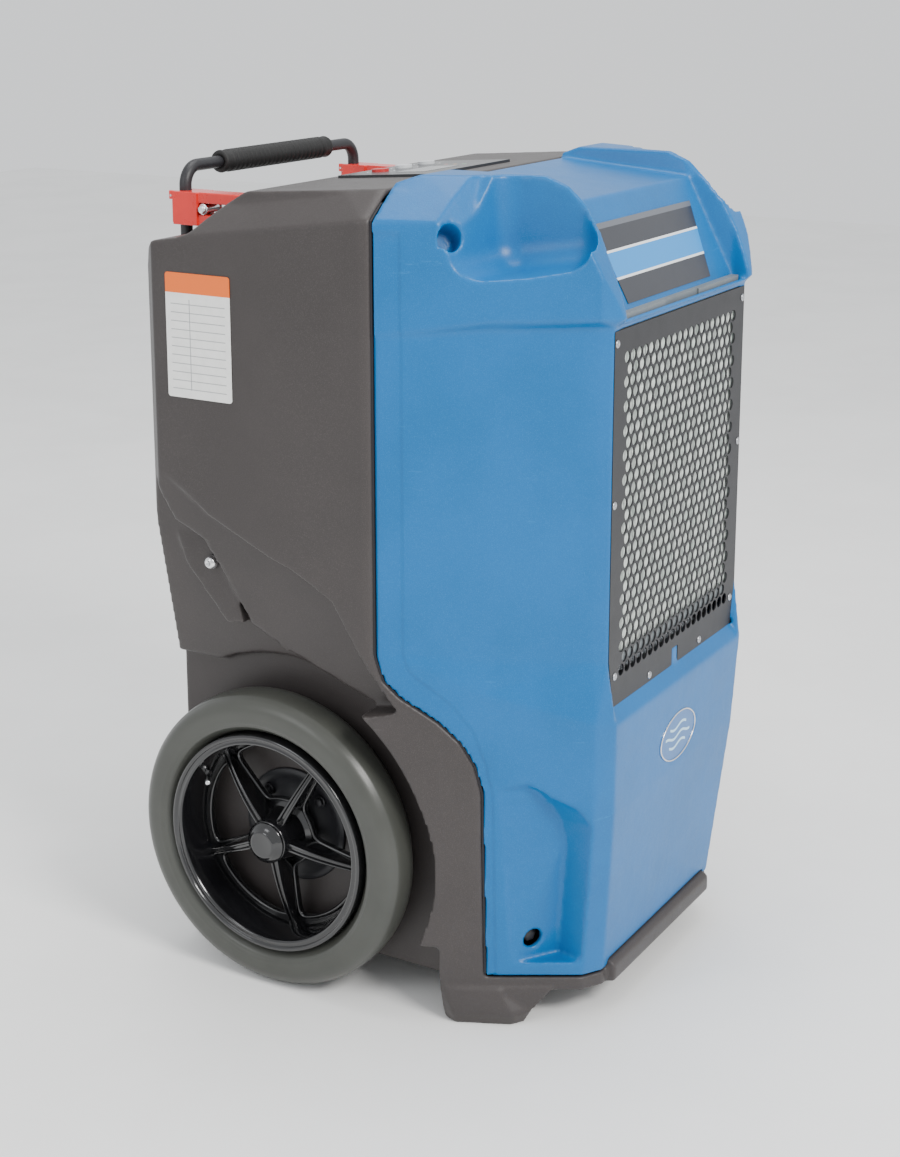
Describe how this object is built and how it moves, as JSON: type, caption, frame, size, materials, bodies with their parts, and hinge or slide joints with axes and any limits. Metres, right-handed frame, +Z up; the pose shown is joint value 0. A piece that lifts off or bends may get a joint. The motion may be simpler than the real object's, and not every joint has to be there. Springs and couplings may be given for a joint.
{
  "type": "portable dehumidifier",
  "caption": "Wheeled drying dehumidifier with a two-part moulded case, perforated inlet grille with pull-out filter, round rear outlet and a sliding rod handle.",
  "frame": {"origin": "on the floor, at the middle of the footprint", "axes": "+Z up, the inlet grille faces -Y, +X is to the right for someone facing the back's way forward"},
  "size_m": [0.5086, 0.512, 0.851],
  "materials": {
    "grey_case": "fine moulded grain",
    "blue_case": "fine moulded grain",
    "black_steel": "powder coat",
    "black_plastic": "satin",
    "gloss_black": "glossy",
    "seal_rubber": "matte",
    "mount_rubber": "matte",
    "tyre_rubber": "satin",
    "filter_plastic": "satin",
    "filter_cloth": "open weave",
    "plate_print": "printed film",
    "badge_print": "printed film",
    "label_print": "printed film",
    "window": "tinted",
    "button_red": "satin",
    "button_white": "satin",
    "clamp_red": "powder coat",
    "zinc_steel": "zinc plated",
    "bolt_steel": "bright",
    "coil_aluminium": "mill finish",
    "copper": "drawn tube",
    "brass_fitting": "turned",
    "compressor_black": "gloss paint",
    "bush_nylon": "satin",
    "grip_rubber": "matte"
  },
  "bodies": {
    "case": {"rear_housing": "grey_case", "front_housing": "blue_case", "seam_seal": "seal_rubber", "inlet_grille": "black_steel", "grille_screws": "zinc_steel", "nameplate": "plate_print", "badge": "badge_print", "side_label": "label_print", "control_panel": "black_plastic", "display_window": "window", "exhaust_collar": "black_plastic", "exhaust_guard": "black_steel", "fan_shroud": "black_plastic", "fan_motor": "compressor_black", "heat_exchanger": "coil_aluminium", "evaporator": "coil_aluminium", "condenser": "coil_aluminium", "coil_frame": "zinc_steel", "drain_pan": "black_plastic", "condensate_pump": "black_plastic", "drain_hose": "seal_rubber", "drain_fitting": "brass_fitting", "compressor": "compressor_black", "compressor_mounts": "mount_rubber", "filter_drier": "copper", "refrigerant_lines": "copper", "electrics_box": "zinc_steel", "inner_frame": "zinc_steel", "run_capacitor": "zinc_steel", "cord_inlet": "black_plastic", "axle": "zinc_steel", "axle_brackets": "zinc_steel", "bracket_bolts": "black_steel", "rod_guides": "black_plastic", "side_bolts": "bolt_steel", "clamp_left": "clamp_red", "clamp_right": "clamp_red", "clamp_pins": "bolt_steel", "front_bolts": "black_steel"},
    "wheel_left": {"rim_left": "gloss_black", "tyre_left": "tyre_rubber", "wheel_bushes_left": "bush_nylon", "hub_cap_left": "gloss_black"},
    "wheel_right": {"rim_right": "gloss_black", "tyre_right": "tyre_rubber", "wheel_bushes_right": "bush_nylon", "hub_cap_right": "gloss_black"},
    "fan": {"fan_wheel": "black_plastic"},
    "handle": {"handle_rod": "black_steel", "handle_grip": "grip_rubber"},
    "filter": {"filter_frame": "filter_plastic", "filter_media": "filter_cloth"},
    "lever_left": {"clamp_lever_left": "clamp_red"},
    "lever_right": {"clamp_lever_right": "clamp_red"},
    "power_button": {"button_power": "button_red"},
    "mode_button": {"button_mode": "button_white"},
    "drain_button": {"button_drain": "button_white"}
  },
  "joints": [
    {"name": "wheel_spin_left", "type": "hinge", "parent": "case", "child": "wheel_left", "pos_m": [-0.226, 0.097, 0.159], "axis": [1, 0, 0], "continuous": true},
    {"name": "wheel_spin_right", "type": "hinge", "parent": "case", "child": "wheel_right", "pos_m": [0.226, 0.097, 0.159], "axis": [1, 0, 0], "continuous": true},
    {"name": "fan_spin", "type": "hinge", "parent": "case", "child": "fan", "pos_m": [0, -0.048, 0.545], "axis": [0, 1, 0], "continuous": true},
    {"name": "handle_slide", "type": "slide", "parent": "case", "child": "handle", "axis": [0, 0, 1], "range_m": [0, 0.3]},
    {"name": "filter_slide", "type": "slide", "parent": "case", "child": "filter", "axis": [0, 0, 1], "range_m": [0, 0.4]},
    {"name": "clamp_lever_left", "type": "hinge", "parent": "case", "child": "lever_left", "pos_m": [-0.158, 0.2534, 0.81], "axis": [1, 0, 0], "range_deg": [0, 100]},
    {"name": "clamp_lever_right", "type": "hinge", "parent": "case", "child": "lever_right", "pos_m": [0.158, 0.2534, 0.81], "axis": [1, 0, 0], "range_deg": [0, 100]},
    {"name": "power_press", "type": "slide", "parent": "case", "child": "power_button", "axis": [0, -0.0698, -0.9976], "range_m": [0, 0.002], "stiffness_N_per_m": 400, "springref_m": -0.001},
    {"name": "mode_press", "type": "slide", "parent": "case", "child": "mode_button", "axis": [0, -0.0698, -0.9976], "range_m": [0, 0.002], "stiffness_N_per_m": 400, "springref_m": -0.001},
    {"name": "drain_press", "type": "slide", "parent": "case", "child": "drain_button", "axis": [0, -0.0698, -0.9976], "range_m": [0, 0.002], "stiffness_N_per_m": 400, "springref_m": -0.001}
  ]
}
